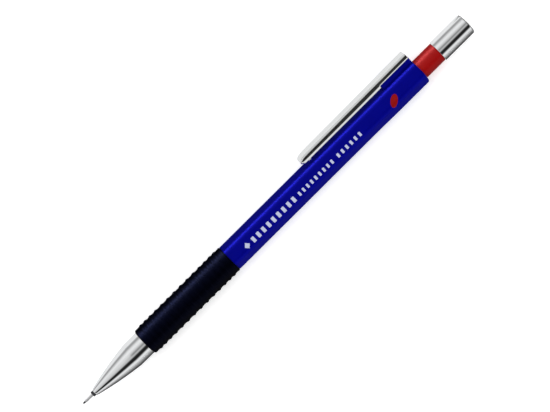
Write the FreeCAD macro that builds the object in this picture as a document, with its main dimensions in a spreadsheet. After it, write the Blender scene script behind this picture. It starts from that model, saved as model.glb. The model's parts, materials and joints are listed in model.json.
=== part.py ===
import FreeCAD, Part
import math
import os
import Sketcher
from FreeCAD import Placement, Rotation, Vector

# A 0.5 mm push-button mechanical pencil, in millimetres.
# The pencil lies along X: the writing tip points to -X and the push cap to +X, +Z is up.
# The origin is on the pencil's axis at the front end of the steel guide sleeve.
# The barrel and the clip are drawn with the clip straight above the axis and then turned
# about the axis by clip_turn, which sets one flat of the six-sided barrel level.

# name, value, what it is
DIMENSIONS = [
    ("lead_radius", 0.28, "0.5 mm class lead, 0.56 mm across"),
    ("lead_length", 60, "standard refill length"),
    ("lead_reach", 0.8, "lead standing out of the guide sleeve"),
    ("sleeve_radius", 0.45, "outside of the steel guide sleeve"),
    ("sleeve_bore", 0.32, "bore of the guide sleeve"),
    ("sleeve_length", 7.9, "whole guide sleeve"),
    ("holder_front", 2.65, "front of the dark sleeve holder, seen at the tip"),
    ("holder_nose", 0.8, "radius of the holder's nose"),
    ("holder_step", 6.0, "where the holder widens"),
    ("holder_radius", 1.05, "sliding part of the holder"),
    ("holder_back", 9.6, "rear of the holder"),
    ("retainer_length", 1.3, "rubber lead retainer"),
    ("retainer_radius", 0.8, "outside of the retainer"),
    ("cone_front", 3.4, "front of the nose cone"),
    ("cone_nose", 1.04, "radius of the cone at its front"),
    ("cone_lip", 1.28, "radius of the cone just behind its front bevel"),
    ("cone_swell", 96, "radius of the cone's gentle ogive curve"),
    ("cone_shoulder", 17.7, "where the ogive meets the cylinder"),
    ("cone_radius", 3.68, "rear of the nose cone"),
    ("cone_back", 22.4, "joint between cone and grip"),
    ("jaw_chamber", 1.62, "radius of the chamber where the jaws open"),
    ("ring_chamber", 1.85, "radius of the chamber of the clutch ring"),
    ("ring_front", 17.6, "front of the clutch ring at rest"),
    ("ring_length", 2.4, "clutch ring"),
    ("ring_radius", 1.75, "outside of the clutch ring"),
    ("ring_bore", 1.38, "inside of the clutch ring"),
    ("ring_travel", 0.8, "how far the clutch ring moves with the collet"),
    ("collet_front", 16.0, "front of the collet jaws at rest"),
    ("jaw_lip", 1.46, "radius of the lip in front of the ring"),
    ("jaw_radius", 1.33, "radius of the jaws inside the ring"),
    ("stem_radius", 1.05, "shank of the collet"),
    ("stem_back", 42.0, "rear of the collet"),
    ("jaw_slot", 0.25, "width of the slots between the jaws"),
    ("thread_radius", 2.95, "male thread that carries the cone"),
    ("housing_front", 17.95, "front of the chuck housing"),
    ("housing_back", 27.0, "rear of the chuck housing, the spring's seat"),
    ("housing_radius", 2.48, "outside of the chuck housing"),
    ("core_bore", 2.5, "bore of the grip core"),
    ("core_radius", 3.0, "grip core under the rubber"),
    ("core_plug", 3.08, "rear of the core, pressed into the barrel"),
    ("core_back", 66.0, "rear end of the grip core"),
    ("spring_radius", 1.62, "mean radius of the return spring"),
    ("spring_wire", 0.17, "radius of the spring wire"),
    ("spring_pitch", 1.29, "pitch of the spring at rest"),
    ("flange_front", 38.0, "front of the connector's flange"),
    ("tube_front", 39.2, "front of the lead tube"),
    ("tube_back", 127.5, "rear of the lead tube"),
    ("tube_radius", 2.2, "outside of the lead tube"),
    ("tube_bore", 1.7, "inside of the lead tube"),
    ("grip_back", 54.1, "joint between grip and barrel"),
    ("grip_bore", 3.02, "inside of the rubber grip"),
    ("grip_radius", 4.07, "grip between its ribs"),
    ("rib_radius", 4.29, "crest of the grip's ribs"),
    ("rib_width", 1.3, "width of one rib"),
    ("rib_pitch", 2.42, "rib spacing at the middle of the grip"),
    ("rib_gather", 0.14, "how the ribs draw closer towards both ends"),
    ("rib_middle", 38.3, "middle of the ribbed length"),
    ("flat_radius", 3.72, "axis to a flat of the barrel"),
    ("flat_radius_back", 3.8, "the same behind the flare"),
    ("corner_radius", 2.1, "rounding of the barrel's six corners"),
    ("flare_front", 106, "where the barrel starts to flare"),
    ("flare_back", 114, "where the flare ends"),
    ("barrel_bore", 3.1, "bore of the barrel"),
    ("barrel_back", 125.3, "rear end of the barrel"),
    ("barrel_bevel", 0.55, "bevel on the barrel's rear edge"),
    ("clip_turn", 60, "degrees from the top of the pencil to the clip"),
    ("boss_front", 114.7, "front of the raised clip seat"),
    ("boss_height", 5.88, "axis to the top of the clip seat"),
    ("boss_width", 2.0, "width of the clip seat"),
    ("boss_root", 3.5, "axis to the foot of the clip seat, inside the barrel's wall"),
    ("seat_gap", 0.05, "between the clip's edge and its seat"),
    ("clip_width", 3.6, "pressed steel clip"),
    ("clip_sheet", 0.45, "thickness of its sheet"),
    ("clip_front", 85.1, "free end of the clip"),
    ("clip_back", 125.1, "fixed end of the clip"),
    ("clip_top_front", 7.05, "axis to the clip's back near its free end"),
    ("clip_top_back", 7.42, "axis to the clip's back at its fixed end"),
    ("clip_edge", 5.25, "axis to the lower edge of the clip's sides"),
    ("clip_toe", 3.78, "axis to the toe that rests on the barrel"),
    ("toe_width", 1.4, "width of the toe, pressed inwards from the clip's back"),
    ("tongue_place", 122.0, "the tongue that anchors the clip"),
    ("tongue_width", 1.0, "width of the tongue"),
    ("tongue_sheet", 0.5, "thickness of the tongue"),
    ("tongue_foot", 4.35, "axis to the foot of the tongue"),
    ("slot_width", 1.3, "slot for the tongue, across the pencil"),
    ("slot_length", 1.2, "the same slot, along the pencil"),
    ("slot_floor", 4.1, "axis to the floor of the slot"),
    ("collar_front", 118.5, "front of the red eraser holder, inside the barrel"),
    ("collar_radius", 2.98, "red collar"),
    ("collar_bore", 2.22, "bore of the eraser holder"),
    ("cap_front", 132.1, "joint between red collar and push cap"),
    ("neck_radius", 2.72, "neck of the eraser holder inside the cap"),
    ("neck_back", 137.0, "rear of that neck"),
    ("eraser_radius", 2.19, "eraser"),
    ("eraser_front", 128.0, "front of the eraser"),
    ("eraser_back", 139.5, "rear of the eraser"),
    ("cap_back", 143.0, "end of the push cap"),
    ("cap_radius", 3.27, "outside of the push cap"),
    ("cap_bore", 2.76, "inside of the push cap"),
    ("cap_crown", 0.7, "thickness of the cap's end wall"),
    ("cap_edge", 0.55, "rounding of the cap's end"),
]


class Size:
    """A length from the sheet: its value now, and the expression that keeps it bound to the sheet."""

    def __init__(self, value, text):
        self.value, self.text = float(value), text

    def __add__(self, other):
        other = size(other)
        return Size(self.value + other.value, "(%s + %s)" % (self.text, other.text))

    def __sub__(self, other):
        other = size(other)
        return Size(self.value - other.value, "(%s - %s)" % (self.text, other.text))

    def __mul__(self, number):
        return Size(self.value * number, "(%s * %.9g)" % (self.text, number))

    def __neg__(self):
        return self * -1


def size(thing):
    """Any number or Size as a Size."""
    return thing if isinstance(thing, Size) else Size(thing, "(%.9g)" % thing)


doc = FreeCAD.newDocument("MechanicalPencil")
sheet = doc.addObject("Spreadsheet::Sheet", "Dims")
for row, (alias, number, meaning) in enumerate(DIMENSIONS, start=1):
    sheet.set("A%d" % row, alias)
    sheet.set("B%d" % row, "%.9g" % number)
    sheet.set("C%d" % row, meaning)
    sheet.setAlias("B%d" % row, alias)
doc.recompute()


class Dims:
    """dims.cap_radius is the Size of the sheet's cell cap_radius."""

    def __getattr__(self, alias):
        return Size(sheet.get(alias), "Dims." + alias)


dims = Dims()
pieces = []


def new_body(label):
    """An empty body for one sub-part of the pencil."""
    body = doc.addObject("PartDesign::Body", label)
    body.Label = label
    pieces.append(body)
    return body


def origin_part(body, role):
    """The body's own origin plane or axis, such as XZ_Plane or X_Axis."""
    return next(f for f in body.Origin.OriginFeatures if f.Role == role)


def bind(item, field, amount):
    """Binds a feature's field to the sheet."""
    item.setExpression(field, size(amount).text)


def new_sketch(body, name, plane="XZ_Plane", offset=0):
    """A sketch on one of the body's origin planes, moved along that plane's normal."""
    sketch = body.newObject("Sketcher::SketchObject", name)
    sketch.AttachmentSupport = (origin_part(body, plane), [""])
    sketch.MapMode = "FlatFace"
    if isinstance(offset, Size) or offset:
        sketch.AttachmentOffset = Placement(Vector(0, 0, size(offset).value), Rotation())
        bind(sketch, "AttachmentOffset.Base.z", offset)
    return sketch


def pin_point(sketch, piece, end, x, y):
    """Fixes one end of a sketch line or arc at (x, y)."""
    for kind, axis, amount in (("DistanceX", -2, x), ("DistanceY", -1, y)):
        if not isinstance(amount, Size) and amount == 0:
            sketch.addConstraint(Sketcher.Constraint("PointOnObject", piece, end, axis))
            continue
        number = sketch.addConstraint(
            Sketcher.Constraint(kind, -1, 1, piece, end, size(amount).value)
        )
        sketch.setExpression("Constraints[%d]" % number, size(amount).text)


def outline(sketch, corners):
    """A closed outline, given anticlockwise as (x, y) or (x, y, radius) corners. A radius makes the
    side that starts at that corner an arc: it bulges outwards, or inwards if it is negative."""
    count, starts, ends = len(corners), [], []
    for i, corner in enumerate(corners):
        after = corners[(i + 1) % count]
        here = Vector(size(corner[0]).value, size(corner[1]).value, 0)
        there = Vector(size(after[0]).value, size(after[1]).value, 0)
        if len(corner) == 2:
            piece = sketch.addGeometry(Part.LineSegment(here, there))
            starts.append((piece, 1))
            ends.append((piece, 2))
            continue
        radius = size(corner[2])
        turn = 1 if radius.value > 0 else -1
        chord = there - here
        left = Vector(-chord.y, chord.x, 0).normalize()
        reach = math.sqrt(radius.value**2 - (chord.Length / 2) ** 2)
        centre = (here + there) * 0.5 + left * (turn * reach)
        first, last = (here, there) if turn > 0 else (there, here)
        angles = [math.atan2(p.y - centre.y, p.x - centre.x) for p in (first, last)]
        circle = Part.Circle(centre, Vector(0, 0, 1), abs(radius.value))
        piece = sketch.addGeometry(Part.ArcOfCircle(circle, angles[0], angles[1]))
        starts.append((piece, 1 if turn > 0 else 2))
        ends.append((piece, 2 if turn > 0 else 1))
        number = sketch.addConstraint(Sketcher.Constraint("Radius", piece, abs(radius.value)))
        sketch.setExpression("Constraints[%d]" % number, (radius * turn).text)
    for i, corner in enumerate(corners):
        piece, end = ends[i]
        after, start = starts[(i + 1) % count]
        sketch.addConstraint(Sketcher.Constraint("Coincident", piece, end, after, start))
        pin_point(sketch, starts[i][0], starts[i][1], corner[0], corner[1])
    return sketch


def turned(label, corners):
    """A body turned about the pencil's axis: corners are (x, radius) stations."""
    body = new_body(label)
    sketch = outline(new_sketch(body, label + "_section"), corners)
    turn = body.newObject("PartDesign::Revolution", label + "_turned")
    turn.Profile = sketch
    turn.ReferenceAxis = (origin_part(body, "X_Axis"), [""])
    turn.Angle = 360
    return body


def tube(label, front, back, bore, radius):
    """A plain tube along the pencil's axis."""
    return turned(label, [(front, bore), (back, bore), (back, radius), (front, radius)])


def padded(body, name, sketch, length, both_ways=False, kind="Pad"):
    """A Pad or a Pocket of the sketch, with its length bound to the sheet."""
    feature = body.newObject("PartDesign::" + kind, name)
    feature.Profile = sketch
    feature.Midplane = both_ways
    feature.Length = size(length).value
    bind(feature, "Length", length)
    return feature


def grooved(body, name, corners):
    """Cuts a turned groove or bore, given as (x, radius) stations, out of the body."""
    sketch = outline(new_sketch(body, name + "_section"), corners)
    groove = body.newObject("PartDesign::Groove", name)
    groove.Profile = sketch
    groove.ReferenceAxis = (origin_part(body, "X_Axis"), [""])
    groove.Angle = 360
    return groove


def turn_to_clip(body):
    """Turns a body drawn with the clip straight up to the clip's real place."""
    body.Placement = Placement(Vector(), Rotation(Vector(1, 0, 0), -dims.clip_turn.value))
    body.setExpression("Placement.Rotation.Angle", (-dims.clip_turn).text)


# ---- writing tip ---------------------------------------------------------------------------------

lead_tip = -dims.lead_reach
turned("lead", [
    (lead_tip, 0),
    (lead_tip + dims.lead_length, 0),
    (lead_tip + dims.lead_length, dims.lead_radius),
    (lead_tip + 0.12, dims.lead_radius),
    (lead_tip, dims.lead_radius - 0.12),
])

tube("guide_sleeve", 0, dims.sleeve_length, dims.sleeve_bore, dims.sleeve_radius)

# The holder carries the guide sleeve in front and the rubber retainer behind.
retainer_front = dims.holder_back - dims.retainer_length - 0.1
turned("sleeve_holder", [
    (dims.holder_front, dims.sleeve_radius + 0.01),
    (retainer_front - 0.1, dims.sleeve_radius + 0.01),
    (retainer_front - 0.1, dims.retainer_radius + 0.02),
    (dims.holder_back, dims.retainer_radius + 0.02),
    (dims.holder_back, dims.holder_radius),
    (dims.holder_step, dims.holder_radius),
    (dims.holder_step, dims.holder_nose),
    (dims.holder_front + 0.12, dims.holder_nose),
    (dims.holder_front, dims.holder_nose - 0.1),
])

tube(
    "lead_retainer", retainer_front, retainer_front + dims.retainer_length,
    dims.lead_radius + 0.03, dims.retainer_radius,
)

# Bores of the cone from front to back: holder nose, holder, jaws, clutch ring, thread.
nose_bore = dims.holder_nose + 0.06
chamber_front = dims.collet_front - 3.4
chamber_back = dims.ring_front - dims.ring_travel - 0.05
turned("nose_cone", [
    (dims.cone_front, nose_bore),
    (dims.holder_step - 0.1, nose_bore),
    (dims.holder_step - 0.1, dims.holder_radius + 0.05),
    (chamber_front, dims.holder_radius + 0.05),
    (chamber_front, dims.jaw_chamber),
    (chamber_back, dims.jaw_chamber),
    (chamber_back, dims.ring_chamber),
    (dims.ring_front, dims.ring_chamber),
    (dims.ring_front, dims.thread_radius + 0.03),
    (dims.cone_back, dims.thread_radius + 0.03),
    (dims.cone_back, dims.cone_radius - 0.12),
    (dims.cone_back - 0.12, dims.cone_radius),
    (dims.cone_shoulder, dims.cone_radius, dims.cone_swell),
    (dims.cone_front + 0.75, dims.cone_lip),
    (dims.cone_front + 0.08, dims.cone_nose),
    (dims.cone_front, dims.cone_nose - 0.06),
])

# ---- clutch --------------------------------------------------------------------------------------

tube(
    "clutch_ring", dims.ring_front, dims.ring_front + dims.ring_length,
    dims.ring_bore, dims.ring_radius,
)

ring_back = dims.ring_front + dims.ring_length
collet = turned("collet", [
    (dims.collet_front, dims.lead_radius + 0.03),
    (dims.collet_front + 3, dims.lead_radius + 0.03),
    (dims.collet_front + 3.6, dims.lead_radius + 0.3),
    (dims.stem_back, dims.lead_radius + 0.3),
    (dims.stem_back, dims.stem_radius),
    (ring_back + 0.6, dims.stem_radius),
    (ring_back - 0.1, dims.jaw_radius),
    (dims.collet_front + 1.4, dims.jaw_radius),
    (dims.collet_front + 1.3, dims.jaw_lip),
    (dims.collet_front + 0.25, dims.jaw_lip),
    (dims.collet_front, dims.jaw_lip - 0.25),
])
slot = padded(
    collet, "jaw_slot_cut",
    outline(new_sketch(collet, "jaw_slot_outline"), [
        (dims.collet_front - 0.5, 0),
        (dims.collet_front + 12, 0),
        (dims.collet_front + 12, size(2)),
        (dims.collet_front - 0.5, size(2)),
    ]),
    dims.jaw_slot, both_ways=True, kind="Pocket",
)
jaws = collet.newObject("PartDesign::PolarPattern", "three_jaws")
jaws.Originals = [slot]
jaws.Axis = (origin_part(collet, "X_Axis"), [""])
jaws.Angle = 360
jaws.Occurrences = 3
collet.Tip = jaws

# The housing guides the shank, stops the ring and seats the return spring.
turned("chuck_housing", [
    (dims.housing_front, dims.ring_chamber),
    (ring_back + 0.05, dims.ring_chamber),
    (ring_back + 0.05, dims.stem_radius + 0.32),
    (ring_back + 1.2, dims.stem_radius + 0.07),
    (dims.housing_back, dims.stem_radius + 0.07),
    (dims.housing_back, dims.housing_radius),
    (dims.housing_front, dims.housing_radius),
])

spring = new_body("return_spring")
spring_front = dims.housing_back + dims.spring_wire + 0.03
wire = new_sketch(spring, "spring_wire_section")
circle = wire.addGeometry(Part.Circle(
    Vector(spring_front.value, dims.spring_radius.value, 0), Vector(0, 0, 1),
    dims.spring_wire.value,
))
pin_point(wire, circle, 3, spring_front, dims.spring_radius)
number = wire.addConstraint(Sketcher.Constraint("Radius", circle, dims.spring_wire.value))
wire.setExpression("Constraints[%d]" % number, dims.spring_wire.text)
coil = spring.newObject("PartDesign::AdditiveHelix", "spring_coil")
coil.Profile = wire
coil.ReferenceAxis = (origin_part(spring, "X_Axis"), [""])
coil.Mode = 0
bind(coil, "Pitch", dims.spring_pitch)
bind(coil, "Height", dims.flange_front - dims.housing_back - dims.spring_wire * 2 - 0.06)

turned("tube_connector", [
    (dims.flange_front, dims.stem_radius + 0.02),
    (dims.stem_back, dims.stem_radius + 0.02),
    (dims.stem_back + 0.1, dims.lead_radius + 0.35),
    (dims.stem_back + 2, dims.tube_bore - 0.4),
    (dims.stem_back + 2, dims.tube_bore - 0.02),
    (dims.tube_front, dims.tube_bore - 0.02),
    (dims.tube_front, dims.tube_radius),
    (dims.flange_front, dims.tube_radius),
])

tube("lead_tube", dims.tube_front, dims.tube_back, dims.tube_bore, dims.tube_radius)

# Three spare leads lie side by side on the bottom of the tube.
spares = new_body("spare_leads")
spares.AllowCompound = True
spare_ends = new_sketch(spares, "spare_lead_ends", "YZ_Plane", dims.stem_back + 4)
swing = dims.tube_bore - dims.lead_radius - 0.04
for degrees in (-117, -90, -63):
    angle = math.radians(degrees)
    y, z = swing * math.cos(angle), swing * math.sin(angle)
    if degrees == -90:
        y = 0
    end = spare_ends.addGeometry(Part.Circle(
        Vector(size(y).value, z.value, 0), Vector(0, 0, 1), dims.lead_radius.value
    ))
    pin_point(spare_ends, end, 3, y, z)
    number = spare_ends.addConstraint(
        Sketcher.Constraint("Radius", end, dims.lead_radius.value)
    )
    spare_ends.setExpression("Constraints[%d]" % number, dims.lead_radius.text)
padded(spares, "spare_lead_rods", spare_ends, dims.lead_length)

# ---- grip ----------------------------------------------------------------------------------------

turned("grip_core", [
    (dims.housing_front, dims.core_bore),
    (dims.core_back, dims.core_bore),
    (dims.core_back, dims.core_plug),
    (dims.grip_back, dims.core_plug),
    (dims.grip_back, dims.core_radius),
    (dims.cone_back, dims.core_radius),
    (dims.cone_back, dims.thread_radius),
    (dims.housing_front + 0.2, dims.thread_radius),
    (dims.housing_front, dims.thread_radius - 0.2),
])

# Fourteen soft ribs, drawn closer together towards both ends of the grip.
RIBS = 14
grip_profile = [
    (dims.cone_back, dims.grip_bore),
    (dims.grip_back, dims.grip_bore),
    (dims.grip_back, dims.grip_radius + 0.04),
    (dims.grip_back - 0.3, dims.grip_radius + 0.09),
    (dims.grip_back - 1.2, dims.grip_radius),
]
gather = dims.rib_gather.value
for k in reversed(range(RIBS)):
    reach = math.sin(gather * (k - (RIBS - 1) / 2)) / gather
    crest = dims.rib_middle + dims.rib_pitch * reach
    rib_height = (dims.rib_radius - dims.grip_radius).value
    arc = (dims.rib_width.value**2 / 4 + rib_height**2) / (2 * rib_height)
    grip_profile += [
        (crest + dims.rib_width * 0.5, dims.grip_radius, arc),
        (crest - dims.rib_width * 0.5, dims.grip_radius),
    ]
grip_profile += [
    (dims.cone_back + 0.9, dims.grip_radius),
    (dims.cone_back + 0.15, dims.grip_radius - 0.12),
    (dims.cone_back, dims.grip_radius - 0.25),
]
turned("grip", grip_profile)

# ---- barrel --------------------------------------------------------------------------------------


def hexagon(body, name, place, flat):
    """A six-sided section across the pencil with rounded corners. Flats face up and down."""
    slope = math.cos(math.pi / 6)
    core = (flat - dims.corner_radius) * (1 / slope)
    corners = []
    for side in range(6):
        middle = math.radians(60 * side + 30)
        for tilt, radius in ((-30, dims.corner_radius), (30, None)):
            face = math.radians(60 * side + 30 + tilt + 30)
            vertex = math.radians(60 * side + 60)
            y = core * math.cos(vertex) + dims.corner_radius * math.cos(face)
            z = core * math.sin(vertex) + dims.corner_radius * math.sin(face)
            corners.append((y, z, radius) if radius else (y, z))
    return outline(new_sketch(body, name, "YZ_Plane", place), corners)


barrel = new_body("barrel")
padded(
    barrel, "barrel_front", hexagon(barrel, "front_section", dims.grip_back, dims.flat_radius),
    dims.flare_front - dims.grip_back,
)
flare = barrel.newObject("PartDesign::AdditiveLoft", "barrel_flare")
flare.Profile = hexagon(barrel, "flare_start", dims.flare_front, dims.flat_radius)
flare.Sections = [hexagon(barrel, "flare_end", dims.flare_back, dims.flat_radius_back)]
flare.Ruled = True
padded(
    barrel, "barrel_rear", hexagon(barrel, "rear_section", dims.flare_back, dims.flat_radius_back),
    dims.barrel_back - dims.flare_back,
)
bevel_edge = dims.flat_radius_back + 0.3
grooved(barrel, "rear_bevel", [
    (dims.barrel_back - dims.barrel_bevel, bevel_edge),
    (dims.barrel_back + 0.2, bevel_edge - dims.barrel_bevel - 0.2),
    (dims.barrel_back + 0.2, bevel_edge + 1),
    (dims.barrel_back - dims.barrel_bevel, bevel_edge + 1),
])
padded(
    barrel, "clip_boss",
    outline(new_sketch(barrel, "boss_side"), [
        (dims.boss_front - 0.25, dims.boss_root),
        (dims.barrel_back - 0.05, dims.boss_root),
        (dims.barrel_back - 0.05, dims.boss_height - 0.35),
        (dims.barrel_back - 0.4, dims.boss_height),
        (dims.boss_front + 0.35, dims.boss_height, 0.5),
        (dims.boss_front, dims.boss_height - 0.35),
    ]),
    dims.boss_width, both_ways=True,
)
padded(
    barrel, "tongue_slot",
    outline(new_sketch(barrel, "tongue_slot_side"), [
        (dims.tongue_place - dims.slot_length * 0.5, dims.slot_floor),
        (dims.tongue_place + dims.slot_length * 0.5, dims.slot_floor),
        (dims.tongue_place + dims.slot_length * 0.5, dims.boss_height + 0.5),
        (dims.tongue_place - dims.slot_length * 0.5, dims.boss_height + 0.5),
    ]),
    dims.slot_width, both_ways=True, kind="Pocket",
)
grooved(barrel, "barrel_bore_cut", [
    (dims.grip_back - 1, 0),
    (dims.barrel_back + 1, 0),
    (dims.barrel_back + 1, dims.barrel_bore),
    (dims.grip_back - 1, dims.barrel_bore),
])
turn_to_clip(barrel)

# ---- clip ----------------------------------------------------------------------------------------

clip = new_body("clip")
padded(
    clip, "clip_side_pad",
    outline(new_sketch(clip, "clip_side"), [
        (dims.clip_front + 0.6, dims.clip_edge),
        (dims.boss_front - 0.3, dims.clip_edge),
        (dims.boss_front - 0.3, dims.boss_height + dims.seat_gap),
        (dims.clip_back, dims.boss_height + dims.seat_gap),
        (dims.clip_back, dims.clip_top_back - 0.3),
        (dims.clip_back - 0.3, dims.clip_top_back),
        (dims.clip_front + 2.6, dims.clip_top_front, 2.8),
        (dims.clip_front, dims.clip_top_front - 1.3, 1.6),
    ]),
    dims.clip_width, both_ways=True,
)
padded(
    clip, "clip_hollow",
    outline(new_sketch(clip, "hollow_side"), [
        (dims.clip_front + 1.5, dims.clip_toe),
        (dims.clip_back + 1, dims.clip_toe),
        (dims.clip_back + 1, dims.clip_top_back - dims.clip_sheet),
        (dims.clip_front + 3.0, dims.clip_top_front - dims.clip_sheet),
        (dims.clip_front + 1.4, dims.clip_top_front - 1.5),
    ]),
    dims.clip_width - dims.clip_sheet * 2, both_ways=True, kind="Pocket",
)
padded(
    clip, "toe",
    outline(new_sketch(clip, "toe_side"), [
        (dims.clip_front + 2.0, dims.clip_toe),
        (dims.clip_front + 2.7, dims.clip_toe),
        (dims.clip_front + 3.5, dims.clip_edge),
        (dims.clip_front + 3.5, dims.clip_top_front - 0.2),
        (dims.clip_front + 2.9, dims.clip_top_front - 0.2),
        (dims.clip_front + 1.2, dims.clip_edge),
    ]),
    dims.toe_width, both_ways=True,
)
padded(
    clip, "tongue",
    outline(new_sketch(clip, "tongue_side"), [
        (dims.tongue_place - dims.tongue_sheet * 0.5, dims.tongue_foot),
        (dims.tongue_place + dims.tongue_sheet * 0.5, dims.tongue_foot),
        (dims.tongue_place + dims.tongue_sheet * 0.5, dims.clip_top_back - 0.2),
        (dims.tongue_place - dims.tongue_sheet * 0.5, dims.clip_top_back - 0.2),
    ]),
    dims.tongue_width, both_ways=True,
)
doc.recompute()


def clip_edges(test):
    """Names of the clip's edges that pass the test."""
    shape = clip.Tip.Shape
    return ["Edge%d" % n for n, edge in enumerate(shape.Edges, start=1) if test(edge)]


def on_side(edge):
    """True for an edge of the clip's upper outline, on either side of its back."""
    middle = edge.valueAt((edge.FirstParameter + edge.LastParameter) / 2)
    across = abs(abs(middle.y) - dims.clip_width.value / 2) < 0.01
    along = abs(edge.Vertexes[0].Y - edge.Vertexes[-1].Y) < 0.01
    return across and along and middle.z > dims.clip_top_front.value - 1.3 and middle.x < 124.9


pressed = clip.Tip
upper_edges = clip_edges(on_side)
rounding = clip.newObject("PartDesign::Fillet", "clip_rounding")
rounding.Base = (pressed, upper_edges)
rounding.Radius = 0.4
turn_to_clip(clip)

# ---- push button ---------------------------------------------------------------------------------

turned("eraser_holder", [
    (dims.collar_front, dims.collar_bore),
    (dims.neck_back, dims.collar_bore),
    (dims.neck_back, dims.neck_radius - 0.15),
    (dims.neck_back - 0.15, dims.neck_radius),
    (dims.cap_front, dims.neck_radius),
    (dims.cap_front, dims.collar_radius),
    (dims.collar_front + 0.3, dims.collar_radius),
    (dims.collar_front, dims.collar_radius - 0.3),
])

turned("eraser", [
    (dims.eraser_front, 0),
    (dims.eraser_back, 0),
    (dims.eraser_back, dims.eraser_radius - 0.35, 0.35),
    (dims.eraser_back - 0.35, dims.eraser_radius),
    (dims.eraser_front, dims.eraser_radius),
])

mouth = dims.cap_front + 0.02
turned("push_cap", [
    (mouth, dims.cap_bore),
    (dims.cap_back - dims.cap_crown, dims.cap_bore),
    (dims.cap_back - dims.cap_crown, 0),
    (dims.cap_back, 0),
    (dims.cap_back, dims.cap_radius - dims.cap_edge, dims.cap_edge),
    (dims.cap_back - dims.cap_edge, dims.cap_radius),
    (mouth + 0.1, dims.cap_radius),
    (mouth, dims.cap_radius - 0.1),
])

# ---- checks and files ----------------------------------------------------------------------------

doc.recompute()
for item in doc.Objects:
    if "Invalid" in item.State or "Error" in item.State:
        raise RuntimeError("%s did not compute: %s" % (item.Label, item.State))
os.makedirs("parts", exist_ok=True)
for body in pieces:
    shape = body.Shape
    if shape.isNull() or not shape.isValid():
        raise RuntimeError("%s has no valid shape" % body.Label)
    shape.exportStep("parts/%s.step" % body.Label)
    box = shape.BoundBox
    print("%-16s %d solid(s) %9.3f mm3  x %.2f..%.2f  y %.2f..%.2f  z %.2f..%.2f" % (
        body.Label, len(shape.Solids), shape.Volume,
        box.XMin, box.XMax, box.YMin, box.YMax, box.ZMin, box.ZMax,
    ))
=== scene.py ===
import json
import math

import bmesh
import bpy
from mathutils import Matrix, Vector

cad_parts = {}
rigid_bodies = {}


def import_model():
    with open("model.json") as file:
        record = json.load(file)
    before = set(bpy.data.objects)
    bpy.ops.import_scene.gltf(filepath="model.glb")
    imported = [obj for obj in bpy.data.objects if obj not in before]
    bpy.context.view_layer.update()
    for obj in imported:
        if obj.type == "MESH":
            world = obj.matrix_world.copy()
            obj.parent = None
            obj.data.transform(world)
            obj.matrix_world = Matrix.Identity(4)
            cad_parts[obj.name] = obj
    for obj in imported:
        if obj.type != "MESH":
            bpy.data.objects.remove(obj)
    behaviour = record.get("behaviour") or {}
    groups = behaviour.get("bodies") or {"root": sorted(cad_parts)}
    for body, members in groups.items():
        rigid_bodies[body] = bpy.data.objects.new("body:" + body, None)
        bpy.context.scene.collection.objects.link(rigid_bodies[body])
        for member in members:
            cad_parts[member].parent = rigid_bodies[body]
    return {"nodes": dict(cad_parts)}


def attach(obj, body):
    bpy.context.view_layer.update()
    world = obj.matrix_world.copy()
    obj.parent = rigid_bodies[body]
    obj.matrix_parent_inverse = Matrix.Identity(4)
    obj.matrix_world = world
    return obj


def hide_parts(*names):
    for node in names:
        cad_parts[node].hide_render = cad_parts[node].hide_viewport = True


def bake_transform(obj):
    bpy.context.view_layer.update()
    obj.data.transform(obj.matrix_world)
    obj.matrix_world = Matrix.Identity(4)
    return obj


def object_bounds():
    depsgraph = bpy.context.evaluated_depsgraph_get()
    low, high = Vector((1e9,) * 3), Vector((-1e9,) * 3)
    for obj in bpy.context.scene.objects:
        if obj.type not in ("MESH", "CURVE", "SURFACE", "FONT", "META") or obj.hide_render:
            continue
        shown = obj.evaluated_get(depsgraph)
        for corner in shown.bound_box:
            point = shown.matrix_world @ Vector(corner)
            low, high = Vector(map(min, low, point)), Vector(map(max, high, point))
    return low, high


# Looks of the mechanical pencil. Lengths are written in millimetres and turned into metres by MM.
# The pencil lies along X with its tip at -X; TO_CLIP turns what is drawn straight up to the clip.

MM = 0.001
TO_CLIP = Matrix.Rotation(math.radians(-60), 4, "X")
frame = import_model()
cad_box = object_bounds()
nodes = frame["nodes"]


# ---- mesh helpers --------------------------------------------------------------------------------

def rounded(points, steps=5):
    """Profile points (x, r) or (x, r, fillet): corners with a fillet become small arcs."""
    out = []
    for i, point in enumerate(points):
        here = Vector(point[:2])
        if len(point) == 2 or i in (0, len(points) - 1):
            out.append(here)
            continue
        before = (Vector(points[i - 1][:2]) - here).normalized()
        after = (Vector(points[i + 1][:2]) - here).normalized()
        half = before.angle(after) / 2
        reach = point[2] / math.tan(half)
        middle = here + (before + after).normalized() * (point[2] / math.sin(half))
        first, last = here + before * reach - middle, here + after * reach - middle
        swing = math.atan2(first.x * last.y - first.y * last.x, first.dot(last))
        for k in range(steps + 1):
            spin = Matrix.Rotation(swing * k / steps, 2)
            out.append(middle + spin @ first)
    return [(p.x, p.y) for p in out]


def add_object(name, bm, material, body, sharp=35):
    """Makes an object of the bmesh, shades it, and lets it ride on the CAD body, if one is given."""
    bmesh.ops.recalc_face_normals(bm, faces=bm.faces)
    mesh = bpy.data.meshes.new(name)
    bm.to_mesh(mesh)
    bm.free()
    for face in mesh.polygons:
        face.use_smooth = True
    mesh.set_sharp_from_angle(angle=math.radians(sharp))
    mesh.materials.append(material)
    piece = bpy.data.objects.new(name, mesh)
    bpy.context.scene.collection.objects.link(piece)
    if body:
        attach(piece, body)
    return piece


def ring_of(bm, x, radius, count):
    """A ring of vertices across the X axis, or one vertex on it."""
    if radius < 1e-6:
        return [bm.verts.new((x * MM, 0, 0))]
    turns = [2 * math.pi * k / count for k in range(count)]
    return [bm.verts.new((x * MM, radius * MM * math.cos(a), radius * MM * math.sin(a))) for a in turns]


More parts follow.
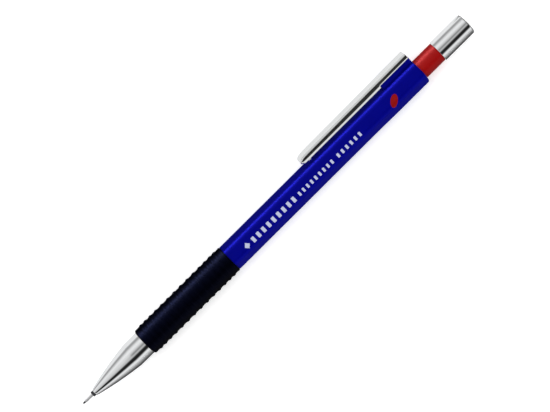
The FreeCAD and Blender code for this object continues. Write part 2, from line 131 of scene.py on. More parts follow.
def bridge(bm, one, two):
    """Faces between two rings of vertices; either may be a single vertex."""
    count = max(len(one), len(two))
    for k in range(count):
        n = (k + 1) % count
        if len(one) == 1:
            bm.faces.new((one[0], two[n], two[k]))
        elif len(two) == 1:
            bm.faces.new((one[k], one[n], two[0]))
        else:
            bm.faces.new((one[k], one[n], two[n], two[k]))


def lathe(name, profile, material, body, count=144, sharp=35):
    """A piece turned about the pencil's axis from its profile in (x, r[, fillet]) points."""
    bm = bmesh.new()
    rings = [ring_of(bm, x, r, count) for x, r in rounded(profile)]
    for one, two in zip(rings, rings[1:]):
        if len(one) > 1 or len(two) > 1:
            bridge(bm, one, two)
    if len(rings[0]) > 1 and len(rings[-1]) > 1:
        bridge(bm, rings[-1], rings[0])
    return add_object(name, bm, material, body, sharp)


def arc_points(one, two, radius, count=24):
    """Points of an arc between two profile points, bulging away from the axis, both ends left out."""
    one, two = Vector(one), Vector(two)
    chord = two - one
    side = Vector((-chord.y, chord.x)).normalized()
    if side.y > 0:
        side = -side
    middle = (one + two) / 2 + side * math.sqrt(radius**2 - (chord.length / 2) ** 2)
    start = math.atan2(one.y - middle.y, one.x - middle.x)
    end = math.atan2(two.y - middle.y, two.x - middle.x)
    turns = [start + (end - start) * k / count for k in range(1, count)]
    return [(middle.x + radius * math.cos(t), middle.y + radius * math.sin(t)) for t in turns]


def prism(name, section, x_low, x_high, material, body, bevel):
    """A block along X with its section given as (across, up) points; the clip's side is up."""
    bm = bmesh.new()
    ends = [[bm.verts.new((x * MM, y * MM, z * MM)) for y, z in section] for x in (x_low, x_high)]
    bm.faces.new(ends[0])
    bm.faces.new(ends[1][::-1])
    count = len(section)
    for k in range(count):
        n = (k + 1) % count
        bm.faces.new((ends[0][k], ends[1][k], ends[1][n], ends[0][n]))
    bmesh.ops.recalc_face_normals(bm, faces=bm.faces)
    bmesh.ops.bevel(
        bm, geom=list(bm.edges), offset=bevel * MM, segments=3, profile=0.5, affect="EDGES",
        clamp_overlap=True,
    )
    bm.transform(TO_CLIP)
    return add_object(name, bm, material, body, 50)


# ---- materials -----------------------------------------------------------------------------------

class Nodes:
    """A short way to write a material's node tree."""

    def __init__(self, name):
        self.material = bpy.data.materials.new(name)
        self.material.use_nodes = True
        self.tree = self.material.node_tree
        self.shader = self.tree.nodes["Principled BSDF"]
        self.place = self.tree.nodes.new("ShaderNodeTexCoord").outputs["Object"]

    def add(self, kind, **fields):
        node = self.tree.nodes.new("ShaderNode" + kind)
        for field, value in fields.items():
            setattr(node, field, value)
        return node

    def link(self, source, target):
        self.tree.links.new(source, target)

    def noise(self, scale, detail=2.0, stretch=(1, 1, 1), rough=0.5):
        """Noise whose scale is in features per millimetre."""
        mapping = self.add("Mapping")
        mapping.inputs["Scale"].default_value = [1000 * s for s in stretch]
        self.link(self.place, mapping.inputs["Vector"])
        noise = self.add("TexNoise")
        noise.inputs["Scale"].default_value = scale
        noise.inputs["Detail"].default_value = detail
        noise.inputs["Roughness"].default_value = rough
        self.link(mapping.outputs[0], noise.inputs["Vector"])
        return noise.outputs["Fac"]

    def spread(self, source, low, high, start=0.3, end=0.7):
        """Maps a 0..1 pattern onto low..high."""
        ramp = self.add("MapRange")
        ramp.inputs["From Min"].default_value = start
        ramp.inputs["From Max"].default_value = end
        ramp.inputs["To Min"].default_value = low
        ramp.inputs["To Max"].default_value = high
        self.link(source, ramp.inputs["Value"])
        return ramp.outputs["Result"]

    def blend(self, source, one, two):
        """A colour between two colours, as the pattern goes from 0 to 1."""
        mix = self.add("Mix", data_type="RGBA")
        mix.inputs[6].default_value = (*one, 1)
        mix.inputs[7].default_value = (*two, 1)
        self.link(source, mix.inputs[0])
        return mix.outputs[2]

    def bump(self, source, distance, strength=1.0):
        """Surface relief; distance is in millimetres."""
        bump = self.add("Bump")
        bump.inputs["Distance"].default_value = distance * MM
        bump.inputs["Strength"].default_value = strength
        self.link(source, bump.inputs["Height"])
        self.link(bump.outputs[0], self.shader.inputs["Normal"])

    def set(self, **values):
        for name, value in values.items():
            self.shader.inputs[name.replace("_", " ")].default_value = value


def plated(name, colour, low, high, relief=0.0006):
    """Bright plated or polished metal with faint handling marks."""
    m = Nodes(name)
    m.set(Metallic=1.0)
    m.link(m.blend(m.noise(0.35), colour, [c * 0.93 for c in colour]), m.shader.inputs["Base Color"])
    m.link(m.spread(m.noise(0.9, 4), low, high), m.shader.inputs["Roughness"])
    m.bump(m.noise(2.2, 2), relief)
    return m.material


def brushed(name, colour, low, high, stretch):
    """Drawn or turned metal: fine lines along or around the piece."""
    m = Nodes(name)
    m.set(Metallic=1.0)
    lines = m.noise(6.0, 3, stretch)
    m.link(m.blend(lines, [c * 0.85 for c in colour], colour), m.shader.inputs["Base Color"])
    m.link(m.spread(lines, low, high), m.shader.inputs["Roughness"])
    m.bump(lines, 0.002)
    return m.material


def moulded(name, colour, shade, low, high, metal=0.0, level=0.5, relief=0.0012, grain=1.4, tint=(1, 1, 1)):
    """Injection-moulded plastic: slight cloudiness, gloss variation, fine rub marks and orange peel."""
    m = Nodes(name)
    m.link(m.blend(m.spread(m.noise(0.25, 3), 0, 1), colour, shade), m.shader.inputs["Base Color"])
    gloss = m.spread(m.noise(0.8, 4), low, high)
    rubs = m.spread(m.noise(1.0, 3, (0.12, 3, 3)), 0, 0.06, 0.62, 0.75)
    both = m.add("Math", operation="ADD")
    m.link(gloss, both.inputs[0])
    m.link(rubs, both.inputs[1])
    m.link(both.outputs[0], m.shader.inputs["Roughness"])
    m.set(IOR=1.5, Metallic=metal, Specular_IOR_Level=level, Specular_Tint=(*tint, 1))
    m.bump(m.noise(grain, 2), relief)
    return m.material


chrome = plated("chrome_plate", (0.86, 0.87, 0.88), 0.03, 0.06)
clip_plate = plated("clip_plate", (0.82, 0.83, 0.83), 0.12, 0.18)
steel = brushed("drawn_steel", (0.86, 0.86, 0.87), 0.24, 0.36, (0.15, 2, 2))
brass = brushed("turned_brass", (0.83, 0.62, 0.30), 0.16, 0.30, (2.5, 0.5, 0.5))
blue = moulded(
    "blue_barrel", (0.0007, 0.0012, 0.205), (0.0006, 0.0010, 0.184), 0.33, 0.39, metal=0.30, level=0.03,
    relief=0.0005,
)
red = moulded(
    "red_collar_plastic", (0.34, 0.0024, 0.0024), (0.30, 0.0020, 0.0020), 0.36, 0.44, metal=0.1, level=0.10,
)
dark = moulded("dark_plastic", (0.022, 0.022, 0.026), (0.015, 0.015, 0.018), 0.35, 0.5)
milky = moulded("milky_tube", (0.78, 0.79, 0.80), (0.70, 0.72, 0.74), 0.15, 0.3)
vinyl = moulded("white_vinyl", (0.86, 0.86, 0.84), (0.80, 0.80, 0.78), 0.55, 0.75, relief=0.004, grain=3)
rubber = moulded(
    "grip_rubber", (0.0002, 0.0002, 0.0012), (0.0002, 0.0002, 0.0008), 0.34, 0.46, level=0.08, relief=0.004,
    grain=5, tint=(0.20, 0.28, 1.0),
)
soft_rubber = moulded("retainer_rubber", (0.02, 0.02, 0.02), (0.015, 0.015, 0.015), 0.6, 0.8)
graphite = moulded("graphite", (0.045, 0.045, 0.05), (0.03, 0.03, 0.034), 0.3, 0.45, relief=0.003, grain=8)
white_ink = moulded("white_print", (0.52, 0.55, 0.72), (0.46, 0.49, 0.66), 0.35, 0.5, level=0.2)
red_ink = moulded("red_print", (0.28, 0.002, 0.002), (0.25, 0.002, 0.002), 0.3, 0.45, level=0.1)

CAD_MATERIALS = {
    "lead": graphite, "spare_leads": graphite, "guide_sleeve": steel, "sleeve_holder": dark,
    "lead_retainer": soft_rubber, "nose_cone": chrome, "clutch_ring": brass, "collet": brass,
    "return_spring": steel, "chuck_housing": dark, "tube_connector": dark, "lead_tube": milky,
    "grip_core": blue, "grip": rubber, "barrel": blue, "clip": clip_plate, "eraser_holder": red,
    "eraser": vinyl, "push_cap": chrome,
}
for node, material in CAD_MATERIALS.items():
    mesh = nodes[node].data
    mesh.materials.clear()
    mesh.materials.append(material)


def stands_for(piece, node):
    """The piece is shown in place of the CAD node, which is hidden."""
    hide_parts(node)
    return piece


# ---- tip and clutch ------------------------------------------------------------------------------

stands_for(lathe("lead_rod", [
    (-0.8, 0), (-0.8, 0.12), (-0.7, 0.21), (-0.5, 0.28), (59.2, 0.28, 0.03), (59.2, 0),
], graphite, "lead", 48), "lead")
stands_for(lathe("sleeve_pipe", [
    (0, 0.32), (7.9, 0.32), (7.9, 0.45), (0, 0.45, 0.05),
], steel, "sleeve", 72), "guide_sleeve")
stands_for(lathe("holder_bush", [
    (2.65, 0.455), (8.15, 0.455), (8.15, 0.81), (9.6, 0.81), (9.6, 1.05, 0.1), (6.0, 1.05, 0.1),
    (6.0, 0.8), (2.65, 0.8, 0.14),
], dark, "sleeve", 96), "sleeve_holder")
cone_shoulder, cone_lip = (17.7, 3.68), (4.15, 1.28)
stands_for(lathe("cone_shell", [
    (3.4, 0.86), (5.9, 0.86), (5.9, 1.1), (12.6, 1.1), (12.6, 1.62), (16.75, 1.62), (16.75, 1.85),
    (17.6, 1.85), (17.6, 2.98), (22.38, 2.98), (22.38, 3.68, 0.12), cone_shoulder,
    *arc_points(cone_shoulder, cone_lip, 96), cone_lip, (3.62, 1.13), (3.48, 1.05), (3.4, 0.98),
], chrome, "nose", 192, 22), "nose_cone")
stands_for(lathe("clutch_collar", [
    (17.6, 1.38), (20, 1.38), (20, 1.75, 0.12), (17.6, 1.75, 0.12),
], brass, "ring", 96), "clutch_ring")
stands_for(lathe("chuck_sleeve", [
    (17.95, 1.85), (20.05, 1.85), (20.05, 1.37), (21.2, 1.12), (27, 1.12), (27, 2.48, 0.2),
    (17.95, 2.48, 0.2),
], dark, "barrel", 96), "chuck_housing")
stands_for(lathe("tube_socket", [
    (38, 1.07), (42, 1.07), (42.1, 0.63), (44, 1.3), (44, 1.68, 0.08), (39.2, 1.68), (39.2, 2.2, 0.1),
    (38, 2.2, 0.15),
], dark, "push", 96), "tube_connector")
stands_for(lathe("lead_magazine", [
    (39.2, 1.7), (127.5, 1.7, 0.1), (127.5, 2.2, 0.15), (39.2, 2.2, 0.1),
], milky, "push", 96), "lead_tube")

# The return spring: its end coils lie closer.
bm = bmesh.new()
coils, spring_radius, wire, round_count, wire_count = 8.5, 1.62, 0.17, 40, 10
spring_low, spring_high = 27.2, 37.8
rings = []
steps = int(coils * round_count)
for i in range(steps + 1):
    part = i / steps
    angle = 2 * math.pi * coils * part
    squeeze = part - 0.04 * math.sin(2 * math.pi * part) / math.pi
    out = Vector((0, math.cos(angle), math.sin(angle)))
    middle = Vector((spring_low + (spring_high - spring_low) * squeeze, 0, 0)) + out * spring_radius
    rings.append([
        bm.verts.new((middle + out * wire * math.cos(t) + Vector((wire * math.sin(t), 0, 0))) * MM)
        for t in (2 * math.pi * k / wire_count for k in range(wire_count))
    ])
for one, two in zip(rings, rings[1:]):
    bridge(bm, one, two)
bm.faces.new(rings[0])
bm.faces.new(rings[-1])
spring = add_object("spring_coil", bm, steel, None, 60)
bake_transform(spring)
stands_for(spring, "return_spring")

# ---- grip ----------------------------------------------------------------------------------------

RIBS, RIB_MIDDLE, RIB_PITCH, GATHER = 14, 38.3, 2.42, 0.14
RIB_HEIGHT, RIB_HALF_WIDTH, TUBE_RADIUS = 0.22, 0.8, 4.06
LIP_HEIGHT, LIP_START = 0.08, 53.0
GRIP_FRONT, GRIP_BACK, GRIP_BORE = 22.42, 54.08, 3.02
crests = [RIB_MIDDLE + RIB_PITCH * math.sin(GATHER * (k - (RIBS - 1) / 2)) / GATHER for k in range(RIBS)]


def grip_radius(x):
    """Outside of the rubber at x: soft ribs on a plain tube, with a lip towards the barrel."""
    near = min(abs(x - crest) for crest in crests)
    rib = RIB_HEIGHT * math.cos(math.pi * min(near / RIB_HALF_WIDTH, 1) / 2) ** 2
    lip = LIP_HEIGHT * min(max((x - LIP_START) / 0.8, 0), 1)
    return TUBE_RADIUS + max(rib, lip)


grip_steps = 290
outer = [GRIP_FRONT + (GRIP_BACK - GRIP_FRONT) * k / grip_steps for k in range(grip_steps + 1)]
profile = [(GRIP_FRONT, GRIP_BORE), (GRIP_BACK, GRIP_BORE), (GRIP_BACK, 3.98)]
profile += [(x, grip_radius(x)) for x in reversed(outer[2:-2])]
profile += [(GRIP_FRONT + 0.1, 3.98), (GRIP_FRONT, 3.84)]
stands_for(lathe("grip_sleeve", profile, rubber, "barrel", 128, 50), "grip")

# The core under the grip carries the cone's thread: a groove that winds round its front end.
bm = bmesh.new()
rings, count = [], 96
stations = [(17.97, 2.72)] + [(18.1 + 0.1 * k, None) for k in range(41)] + [(22.3, 2.86), (22.4, 2.95)]
stations += [(22.41, 2.99), (54.05, 2.99), (54.12, 3.07), (65.7, 3.07), (65.98, 2.85)]
stations += [(65.98, 2.51), (17.97, 2.51)]
for x, r in stations:
    ring = []
    for k in range(count):
        angle = 2 * math.pi * k / count
        wave = 0.5 + 0.5 * math.cos(2 * math.pi * (x - 18.1) / 0.8 - angle)
        radius = (2.94 - 0.2 * wave**2) if r is None else r
        ring.append(bm.verts.new((x * MM, radius * MM * math.cos(angle), radius * MM * math.sin(angle))))
    rings.append(ring)
for one, two in zip(rings, rings[1:] + rings[:1]):
    bridge(bm, one, two)
stands_for(add_object("threaded_core", bm, blue, "barrel", 50), "grip_core")

# ---- barrel --------------------------------------------------------------------------------------

CORNER = 2.1  # radius of the six edges
FLAT_FRONT, FLAT_REAR = 3.72, 3.8  # axis to a flat, in front of the flare and behind it
FLARE_START, FLARE_LENGTH = 106, 8


def flat_at(x):
    """Distance from the axis to a flat of the barrel at x."""
    flare = min(max((x - FLARE_START) / FLARE_LENGTH, 0), 1)
    return FLAT_FRONT + (FLAT_REAR - FLAT_FRONT) * flare * flare * (3 - 2 * flare)


def hexagon_ring(bm, x, flat, corner=CORNER, arc_steps=10):
    """A ring of vertices along the barrel's six-sided section, one flat straight up."""
    reach = (flat - corner) / math.cos(math.radians(30))
    ring = []
    for side in range(6):
        middle = math.radians(60 * side + 30)
        for k in range(arc_steps + 1):
            face = middle + math.radians(60 * k / arc_steps - 30)
            y = reach * math.sin(middle) + corner * math.sin(face)
            z = reach * math.cos(middle) + corner * math.cos(face)
            ring.append(bm.verts.new((x * MM, y * MM, z * MM)))
    return ring


def round_ring(bm, x, radius, like):
    """A round ring whose vertices lie at the same angles as those of another ring."""
    ring = []
    for vert in like:
        out = Vector((0, vert.co.y, vert.co.z)).normalized() * radius * MM
        ring.append(bm.verts.new((x * MM, out.y, out.z)))
    return ring


bm = bmesh.new()
stations = [(54.1, 3.57), (54.13, 3.65), (54.2, 3.7)]
stations += [(x, FLAT_FRONT) for x in (54.32, 57, 62, 70, 80, 92)]
stations += [(104 + 0.8 * k, flat_at(104 + 0.8 * k)) for k in range(15)]
stations += [(x, FLAT_REAR) for x in (118, 122, 124.75)]
stations += [(124.97, 3.76), (125.14, 3.66), (125.26, 3.52), (125.3, 3.42)]
rings = [hexagon_ring(bm, x, flat) for x, flat in stations]
rings.append(round_ring(bm, 125.3, 3.18, rings[0]))
rings.append(round_ring(bm, 125.22, 3.1, rings[0]))
rings.append(round_ring(bm, 54.1, 3.1, rings[0]))
for one, two in zip(rings, rings[1:] + rings[:1]):
    bridge(bm, one, two)
stands_for(add_object("barrel_tube", bm, blue, "barrel", 30), "barrel")
seat = prism("clip_seat", [
    (-1.0, 3.15), (1.0, 3.15), (1.0, 5.88), (-1.0, 5.88),
], 114.7, 125.24, blue, "barrel", 0.12)

# ---- print ---------------------------------------------------------------------------------------


def barrel_top(x, y):
    """Height of the barrel's surface near its upper flat."""
    flat = flat_at(x)
    turn = (flat - CORNER) * math.tan(math.radians(30))
    over = max(abs(y) - turn, 0)
    return flat - CORNER + math.sqrt(CORNER**2 - over**2)


def printed(name, shapes, material):
    """Flat marks on the barrel; each shape is a list of (x, low y, high y) across the mark."""
    bm = bmesh.new()
    across = 8
    for shape in shapes:
        grid = []
        for x, low, high in shape:
            row = []
            for k in range(across + 1):
                y = low + (high - low) * k / across
                row.append(bm.verts.new((x * MM, y * MM, (barrel_top(x, y) + 0.012) * MM)))
            grid.append(row)
        for one, two in zip(grid, grid[1:]):
            for k in range(across):
                bm.faces.new((one[k], two[k], two[k + 1], one[k + 1]))
        rim = [row[0] for row in grid] + grid[-1][1:]
        rim += [row[-1] for row in reversed(grid[:-1])] + grid[0][-2:0:-1]
        foot = [bm.verts.new((v.co.x, v.co.y, v.co.z - 0.03 * MM)) for v in rim]
        for k in range(len(rim)):
            n = (k + 1) % len(rim)
            bm.faces.new((rim[k], rim[n], foot[n], foot[k]))
    return add_object(name, bm, material, "barrel", 30)


def block(x_low, x_high, middle, height, round_off=0.18):
    """A plain bar with softened ends."""
    half, shape = height / 2, []
    for k in range(4):
        t = math.pi / 2 * k / 3
        shape.append((x_low + round_off * (1 - math.sin(t)), half - round_off * (1 - math.cos(t))))
    left = shape[::-1]
    right = [(x_high - (x - x_low), h) for x, h in reversed(left)]
    return [(x, middle - h, middle + h) for x, h in left + right]


def row_of(x_low, x_high, count, fill, middle, height):
    """Evenly spaced plain bars."""
    pitch = (x_high - x_low) / (count - 1 + fill)
    return [block(x_low + pitch * k, x_low + pitch * (k + fill), middle, height, 0.12) for k in range(count)]


PRINT_Y = -0.93
lozenge = [(59.9 + 0.85 * t, PRINT_Y - 0.95 * (1 - abs(t)) - 0.01, PRINT_Y + 0.95 * (1 - abs(t)) + 0.01)
           for t in (-1, -0.5, 0, 0.5, 1)]
printed("print_bold", [lozenge] + row_of(61.8, 77.7, 9, 0.5, PRINT_Y, 1.6), white_ink)
printed("print_middle", row_of(79.1, 91.8, 9, 0.44, PRINT_Y, 1.2), white_ink)
printed("print_rear", row_of(93.5, 102.2, 6, 0.44, PRINT_Y, 1.2), white_ink)


def tilted_oval(x_middle, y_middle, long_half, short_half, degrees, count=24):
    """An oval with its long side turned from the axis, as (x, low y, high y)."""
    c, s = math.cos(math.radians(degrees)), math.sin(math.radians(degrees))
    reach = math.hypot(long_half * c, short_half * s)
    shape = []
    for k in range(count + 1):
        x = -reach * math.cos(math.pi * k / count) * 0.9995
        a = (s / long_half) ** 2 + (c / short_half) ** 2
        b = 2 * x * c * s * (1 / long_half**2 - 1 / short_half**2)
        d = (c * x / long_half) ** 2 + (s * x / short_half) ** 2 - 1
        root = math.sqrt(max(b * b - 4 * a * d, 0))
        shape.append((x_middle + x, y_middle + (-b - root) / (2 * a), y_middle + (-b + root) / (2 * a)))
    return shape


printed("print_spot", [tilted_oval(114.5, -1.1, 1.85, 1.0, 40)], red_ink)

# ---- clip ----------------------------------------------------------------------------------------
# A pressed channel: each station gives the top (x, r) and the lower edge (x, r) of its section.

CLIP_STATIONS = [
    (125.1, 7.22, 125.1, 5.97, 0.95), (125.02, 7.36, 125.02, 5.93, 0.98), (124.8, 7.42, 124.8, 5.93, 1),
    (120, 7.38, 120, 5.93, 1), (116, 7.34, 116, 5.93, 1), (114.6, 7.325, 114.6, 5.93, 1),
    (114.5, 7.325, 114.45, 5.6, 1), (114.4, 7.32, 114.4, 5.25, 1), (112, 7.30, 112, 5.25, 1),
    (108, 7.26, 108, 5.25, 1),
    (100, 7.18, 100, 5.25, 1), (94, 7.12, 94, 5.25, 1), (90, 7.08, 90, 5.25, 1), (88.2, 7.06, 88.2, 5.25, 1),
    (87.3, 7.03, 87.3, 5.25, 0.995), (86.6, 6.94, 86.8, 5.25, 0.985), (86.1, 6.8, 86.4, 5.25, 0.965),
    (85.7, 6.6, 86.15, 5.25, 0.93), (85.4, 6.35, 85.95, 5.25, 0.88), (85.22, 6.08, 85.83, 5.25, 0.82),
    (85.17, 5.82, 85.76, 5.25, 0.76), (85.24, 5.56, 85.72, 5.25, 0.71), (85.42, 5.36, 85.7, 5.25, 0.67),
]


def wall_at(x, r):
    """Half width of the clip at that height: the walls lean in slightly above a soft bend."""
    bend = 5.98 + 0.32 * min(max((x - 113.5) / 2, 0), 1)
    return 1.76 - (max(r - bend, 0) * 0.27 if r > bend else (bend - r) * 0.07)


def clip_section(x_top, r_top, x_edge, r_edge, narrow):
    """One side of the section as (x, across, r) from the lower edge to the middle of the back."""
    round_off = min(0.55, (r_top - r_edge) * 0.6)
    r_side = r_top - round_off
    out = []
    for k in range(13):
        t = k / 12
        r = r_edge + (r_side - r_edge) * t
        x = x_edge + (x_top - x_edge) * (r - r_edge) / (r_top - r_edge)
        out.append((x, wall_at(x, r), r))
    top_half = wall_at(x_top, r_side) - round_off
    for k in range(1, 9):
        t = math.pi / 2 * k / 8
        r = r_side + round_off * math.sin(t)
        x = x_edge + (x_top - x_edge) * (r - r_edge) / (r_top - r_edge)
        out.append((x, top_half + round_off * math.cos(t), r))
    out.append((x_top, top_half * 0.5, r_top + 0.012))
    out.append((x_top, 0, r_top + 0.016))
    return [(x, y * narrow, r) for x, y, r in out]


bm = bmesh.new()
rows = []
for station in CLIP_STATIONS:
    half = clip_section(*station)
    whole = [(x, -y, r) for x, y, r in half[:-1]] + half[::-1]
    rows.append([bm.verts.new((x * MM, y * MM, r * MM)) for x, y, r in whole])
for one, two in zip(rows, rows[1:]):
    for k in range(len(one) - 1):
        bm.faces.new((one[k], one[k + 1], two[k + 1], two[k]))
bm.faces.new(rows[-1])
bm.transform(TO_CLIP)
clip = add_object("clip_channel", bm, clip_plate, "clip", 60)
sheet = clip.modifiers.new("sheet", "SOLIDIFY")
sheet.thickness, sheet.offset = 0.42 * MM, -1.0
sheet.use_rim = True
stands_for(clip, "clip")
tongue = prism("clip_tongue", [
    (-0.48, 4.4), (0.48, 4.4), (0.48, 7.1), (-0.48, 7.1),
], 121.78, 122.22, clip_plate, "clip", 0.06)
toe = prism("clip_toe", [
    (-0.7, 3.79), (0.7, 3.79), (0.7, 6.8), (-0.7, 6.8),
], 87.1, 88.4, clip_plate, "clip", 0.25)

# ---- push button ---------------------------------------------------------------------------------

stands_for(lathe("collar_sleeve", [
    (118.5, 2.22), (137, 2.22), (137, 2.72, 0.15), (132.1, 2.72), (132.1, 2.98, 0.05), (118.5, 2.98, 0.3),
], red, "push", 160), "eraser_holder")
stands_for(lathe("eraser_stick", [
    (128, 0), (128, 2.19, 0.1), (139.5, 2.19, 0.4), (139.5, 0),
], vinyl, "push", 96), "eraser")
stands_for(lathe("cap_shell", [
    (142.3, 0), (142.3, 2.76), (132.14, 2.76), (132.14, 3.27, 0.1), (143, 3.27, 0.5), (143, 0),
], chrome, "cap", 192), "push_cap")


# ---- studio --------------------------------------------------------------------------------------

def plain(name, colour, rough=0.9):
    """A plain stage material."""
    m = Nodes(name)
    m.set(Base_Color=(*colour, 1), Roughness=rough, Specular_IOR_Level=0.1)
    return m.material


def glowing(name, colour, glow, strength):
    """A plain stage material that also gives light of its own."""
    material = plain(name, colour)
    shader = material.node_tree.nodes["Principled BSDF"]
    shader.inputs["Emission Color"].default_value = (glow, glow, glow, 1)
    shader.inputs["Emission Strength"].default_value = strength
    return material


def seen_only_by(piece, ray):
    """Leaves the piece out of every kind of ray but one."""
    for kind in ("camera", "glossy", "diffuse", "shadow", "transmission", "volume_scatter"):
        setattr(piece, "visible_" + kind, kind == ray)


def stage_sheet(name, corners, material):
    """A flat sheet that belongs to the studio."""
    mesh = bpy.data.meshes.new(name)
    mesh.from_pydata(corners, [], [(0, 1, 2, 3)])
    mesh.materials.append(material)
    sheet = bpy.data.objects.new(name, mesh)
    bpy.context.scene.collection.objects.link(sheet)
    return sheet


floor_z = cad_box[0][2] - 0.00002
FLOOR_HALF = 3
stage_sheet("floor", [
    (x * FLOOR_HALF, y * FLOOR_HALF, floor_z) for x, y in ((-1, -1), (1, -1), (1, 1), (-1, 1))
], glowing("pale_floor", (0.9, 0.9, 0.9), 1, 0.40))

# A pale dome behind everything, which only the camera sees: low views look past the floor's edge.
bm = bmesh.new()
bmesh.ops.create_uvsphere(bm, u_segments=48, v_segments=24, radius=2.9)
dome_mesh = bpy.data.meshes.new("backdrop")
bm.to_mesh(dome_mesh)
bm.free()
dome_mesh.materials.append(glowing("pale_backdrop", (0.0, 0.0, 0.0), 0.93, 1.0))
dome = bpy.data.objects.new("backdrop", dome_mesh)
bpy.context.scene.collection.objects.link(dome)
seen_only_by(dome, "camera")

# Cards on the floor shape the reflections in the chrome; only glossy rays see them.


def glow_card(name, near, far, bright_near, bright_far, reach, ends=(-0.3, 0.45), lift=0.00015):
    """A card beside the pencil whose glow goes from one brightness to another within its reach."""
    material = glowing(name, (0.0, 0.0, 0.0), 1, 1.0)
    tree = material.node_tree
    split = tree.nodes.new("ShaderNodeSeparateXYZ")
    tree.links.new(tree.nodes.new("ShaderNodeTexCoord").outputs["Object"], split.inputs[0])
    ramp = tree.nodes.new("ShaderNodeMapRange")
    for field, value in (
        ("From Min", near), ("From Max", near + reach), ("To Min", bright_near), ("To Max", bright_far),
    ):
        ramp.inputs[field].default_value = value
    tree.links.new(split.outputs["Y"], ramp.inputs["Value"])
    tree.links.new(ramp.outputs["Result"], tree.nodes["Principled BSDF"].inputs["Emission Strength"])
    low, high = ends
    corners = [(x, y, floor_z + lift) for x, y in ((low, near), (high, near), (high, far), (low, far))]
    card = stage_sheet(name, corners, material)
    seen_only_by(card, "glossy")
    return card


light_card = glow_card("light_card", 0.0055, 0.6, 0.92, 0.92, 0.1)
glow_card("dark_card", -0.0055, -0.25, 0.02, 0.36, -0.022)
glow_card("end_card", -0.03, 0.03, 0.16, 0.42, 0.06, (0.1445, 0.30), 0.0003)

# A studio tent as seen round the pencil's long axis: (degrees from straight up towards -Y, brightness).
TENT = [
    (-180, 0.8), (-99, 0.9), (-88, 0.72), (-77, 0.40), (-66, 0.38), (-56, 0.68), (-47, 0.88), (-36, 0.95),
    (-27, 0.85), (-20, 0.75), (-12, 0.55), (-4, 0.30), (4, 0.36), (12, 0.58), (17, 0.44), (22, 0.13),
    (27, 0.02), (44, 0.01), (50, 0.07), (54, 0.38), (61, 0.85), (70, 0.95), (80, 0.78), (88, 0.5),
    (98, 0.35), (115, 0.3), (180, 0.3),
]
# In front of the pencil the tent has no grey dip overhead, which brightens the cone towards its tip.
DIP_FILLED = {-20: 0.82, -12: 0.80, -4: 0.74, 4: 0.66, 12: 0.60}
TENT_FRONT = [(degrees, DIP_FILLED.get(degrees, bright)) for degrees, bright in TENT]
world = bpy.data.worlds.new("studio")
bpy.context.scene.world = world
world.use_nodes = True
tree = world.node_tree
direction = tree.nodes.new("ShaderNodeTexCoord").outputs["Generated"]
split = tree.nodes.new("ShaderNodeSeparateXYZ")
tree.links.new(direction, split.inputs[0])
flip = tree.nodes.new("ShaderNodeMath")
flip.operation = "MULTIPLY"
flip.inputs[1].default_value = -1
tree.links.new(split.outputs["Y"], flip.inputs[0])
around = tree.nodes.new("ShaderNodeMath")
around.operation = "ARCTAN2"
tree.links.new(flip.outputs[0], around.inputs[0])
tree.links.new(split.outputs["Z"], around.inputs[1])
spread = tree.nodes.new("ShaderNodeMapRange")
spread.inputs["From Min"].default_value = -math.pi
spread.inputs["From Max"].default_value = math.pi
tree.links.new(around.outputs[0], spread.inputs["Value"])


def tent_colour(stops):
    """A colour ramp round the pencil's axis with these stops."""
    ramp = tree.nodes.new("ShaderNodeValToRGB")
    elements = ramp.color_ramp.elements
    while len(elements) > 1:
        elements.remove(elements[-1])
    elements[0].position = 0.0
    elements[0].color = (stops[0][1],) * 3 + (1,)
    for degrees, bright in stops[1:]:
        elements.new((degrees + 180) / 360).color = (bright, bright, bright, 1)
    tree.links.new(spread.outputs["Result"], ramp.inputs[0])
    return ramp.outputs["Color"]


in_front = tree.nodes.new("ShaderNodeMapRange")
in_front.inputs["From Min"].default_value = -0.16
in_front.inputs["From Max"].default_value = -0.36
tree.links.new(split.outputs["X"], in_front.inputs["Value"])
tent = tree.nodes.new("ShaderNodeMix")
tent.data_type = "RGBA"
tree.links.new(in_front.outputs["Result"], tent.inputs[0])
tree.links.new(tent_colour(TENT), tent.inputs[6])
tree.links.new(tent_colour(TENT_FRONT), tent.inputs[7])

# The tent is darker behind the push cap, so that its mirror-like end face stands out.
behind = tree.nodes.new("ShaderNodeMapRange")
for field, value in (("From Min", 0.45), ("From Max", 0.8), ("To Min", 1.0), ("To Max", 0.35)):
    behind.inputs[field].default_value = value
tree.links.new(split.outputs["X"], behind.inputs["Value"])
background = tree.nodes["Background"]
tree.links.new(behind.outputs["Result"], background.inputs["Strength"])
tree.links.new(tent.outputs[2], background.inputs["Color"])


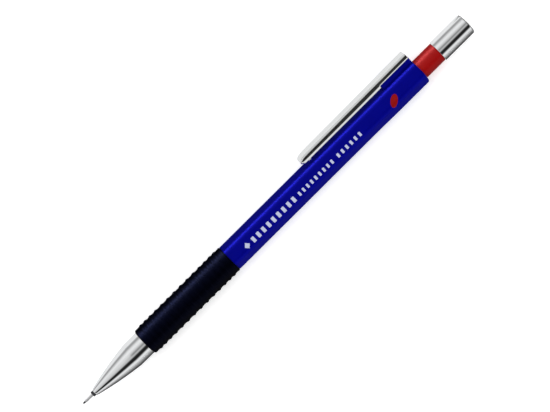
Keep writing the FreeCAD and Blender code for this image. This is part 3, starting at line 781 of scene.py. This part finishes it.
def area(name, place, aim, size, power):
    """A soft rectangular light, left out of mirror-like reflections."""
    light = bpy.data.lights.new(name, "AREA")
    light.shape, light.size, light.size_y = "RECTANGLE", size[0], size[1]
    light.energy = power
    lamp = bpy.data.objects.new(name, light)
    lamp.location = place
    lamp.rotation_euler = (Vector(aim) - Vector(place)).to_track_quat("-Z", "Y").to_euler()
    lamp.visible_glossy = False
    bpy.context.scene.collection.objects.link(lamp)
    return lamp


area("overhead", (0.07, 0.1, 1.3), (0.07, 0, 0), (2.4, 2.4), 20.0)

# A strip draws the soft line along the plastic's upper edge, a side light fills the facet that faces
# away from it. The chrome sees neither, and the plastic doesn't see the light card.


def pieces_of(name, materials):
    """A collection of the pieces made of these materials, for light linking."""
    group = bpy.data.collections.new(name)
    for piece in bpy.context.scene.objects:
        if piece.type == "MESH" and any(slot.material in materials for slot in piece.material_slots):
            group.objects.link(piece)
    return group


plastics = pieces_of("plastics", (blue, red, rubber))
strip = area("strip", (0.07, 0.56, 0.23), (0.07, 0, 0), (1.3, 0.17), 12.0)
strip.visible_glossy, strip.visible_diffuse = True, False
strip.rotation_euler = (math.radians(-68), 0, 0)
strip.light_linking.receiver_collection = plastics
strip.light_linking.blocker_collection = plastics
side = area("side", (0.07, -0.8, 0.25), (0.07, 0, 0), (1.2, 0.4), 4.0)
side.light_linking.receiver_collection = pieces_of("blue_pieces", (blue,))
light_card.light_linking.receiver_collection = pieces_of("bright_pieces", (chrome, clip_plate, steel))

# The clip stands between the strip and the barrel's edge; mirror-like rays pass it, so the line goes on.
for piece in (clip, tongue, toe):
    piece.visible_glossy = False

# ---- camera: straight down, rolled so that the pencil runs from lower left to upper right ---------

camera_data = bpy.data.cameras.new("camera")
camera_data.sensor_width, camera_data.lens = 36.0, 150.0
camera_data.clip_start, camera_data.clip_end = 0.01, 20.0
camera = bpy.data.objects.new("camera", camera_data)
bpy.context.scene.collection.objects.link(camera)
view_width = 0.1465
camera.location = (0.0725, 0.00137, view_width * camera_data.lens / camera_data.sensor_width)
camera.rotation_euler = (0, 0, math.radians(-44.81))
bpy.context.scene.camera = camera
bpy.context.scene.view_settings.view_transform = "Standard"
